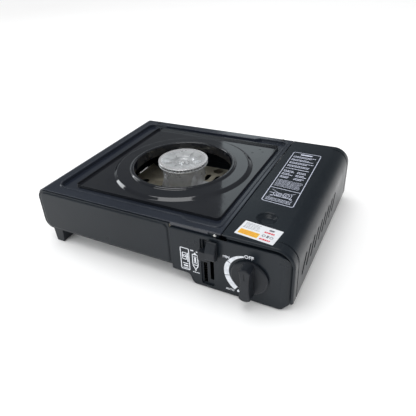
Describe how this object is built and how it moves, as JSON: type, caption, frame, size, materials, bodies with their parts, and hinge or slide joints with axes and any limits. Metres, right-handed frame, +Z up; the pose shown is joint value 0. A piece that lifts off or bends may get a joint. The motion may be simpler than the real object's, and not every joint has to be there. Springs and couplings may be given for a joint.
{
  "type": "portable gas stove",
  "caption": "Flat table-top camping stove: burner in a square drip pan, covered gas cartridge bay at the side, front panel with rotary knob and cartridge lever.",
  "frame": {"origin": "middle of the overall bounding box in plan, on the floor under the feet", "axes": "+X towards the cartridge bay, -Y towards the control panel, +Z up"},
  "size_m": [0.345, 0.281, 0.0873],
  "materials": {
    "casing_black": "satin powder coat, charcoal black",
    "top_plate_black": "semi-gloss stove enamel, blue-black",
    "pan_enamel": "high-gloss vitreous enamel, black",
    "zinc_sheet": "dull zinc-plated sheet",
    "screw_steel": "bright zinc plate",
    "screw_black": "black plated screw",
    "spring_steel": "oiled spring wire",
    "cast_aluminium": "as-cast, lightly blasted",
    "tube_steel": "drawn steel tube",
    "copper_pipe": "drawn copper tube, slightly dulled",
    "brass": "machined",
    "black_rubber": "moulded, matt",
    "control_plastic": "fine-grained moulded black",
    "igniter_plastic": "moulded off-white",
    "lead_sleeve": "black silicone sleeve",
    "electrode_white": "glazed alumina",
    "label_paper": "coated paper label"
  },
  "bodies": {
    "stove_body": {"body_shell": "casing_black", "bracket_screws": "screw_steel", "burner_bracket": "zinc_sheet", "burner_cap": "cast_aluminium", "burner_cup": "cast_aluminium", "burner_port_ring": "cast_aluminium", "burner_tray": "zinc_sheet", "cartridge_collar": "zinc_sheet", "cartridge_cradles": "zinc_sheet", "control_panel": "casing_black", "divider_wall": "casing_black", "electrode_bracket": "zinc_sheet", "electrode_ceramic": "electrode_white", "electrode_tip": "screw_steel", "foot_front_left": "casing_black", "foot_pads": "black_rubber", "foot_rear_left": "casing_black", "front_bulkhead": "zinc_sheet", "gap_rivet": "screw_steel", "gas_pipe": "copper_pipe", "ignition_lead": "lead_sleeve", "injector": "brass", "injector_bracket": "zinc_sheet", "lever_guide": "casing_black", "lever_spring": "spring_steel", "lid_hinge_pins": "screw_steel", "mixing_tube": "tube_steel", "panel_screws": "screw_steel", "piezo_igniter": "igniter_plastic", "plate_screws": "screw_black", "regulator_body": "cast_aluminium", "regulator_cover": "zinc_sheet", "regulator_screws": "screw_steel", "rod_guides": "casing_black", "seal_ring": "black_rubber", "top_plate": "top_plate_black"},
    "lid": {"cartridge_lid": "casing_black", "lid_label": "label_paper"},
    "control_knob": {"knob": "control_plastic", "valve_spindle": "brass"},
    "lever": {"lever_slider": "casing_black", "lever_knob": "control_plastic"},
    "pusher": {"pusher_rod": "zinc_sheet", "pusher_plate": "zinc_sheet", "pusher_pad": "black_rubber"},
    "pan": {"drip_pan": "pan_enamel", "pot_support_front_left": "pan_enamel", "pot_support_front_right": "pan_enamel", "pot_support_rear_left": "pan_enamel", "pot_support_rear_right": "pan_enamel"}
  },
  "joints": [
    {"name": "lid_hinge", "type": "hinge", "parent": "stove_body", "child": "lid", "pos_m": [0.096, 0.0085, 0.0745], "axis": [0, -1, 0], "range_deg": [0, 92]},
    {"name": "knob_turn", "type": "hinge", "parent": "stove_body", "child": "control_knob", "pos_m": [0.125, -0.1215, 0.0348], "axis": [0, -1, 0], "range_deg": [0, 140]},
    {"name": "lever_slide", "type": "slide", "parent": "stove_body", "child": "lever", "axis": [0, 0, -1], "range_m": [0, 0.022], "stiffness_N_per_m": 150, "springref_m": -0.01, "deforming": ["lever_spring"]},
    {"name": "pusher_slide", "type": "slide", "parent": "stove_body", "child": "pusher", "axis": [0, -1, 0], "range_m": [0, 0.008]},
    {"name": "pan_lift", "type": "slide", "parent": "stove_body", "child": "pan", "axis": [0, 0, 1], "range_m": [0, 0.06]}
  ],
  "couplings": [
    {"joint": "pusher_slide", "follows": "lever_slide", "ratio": 0.36364}
  ]
}
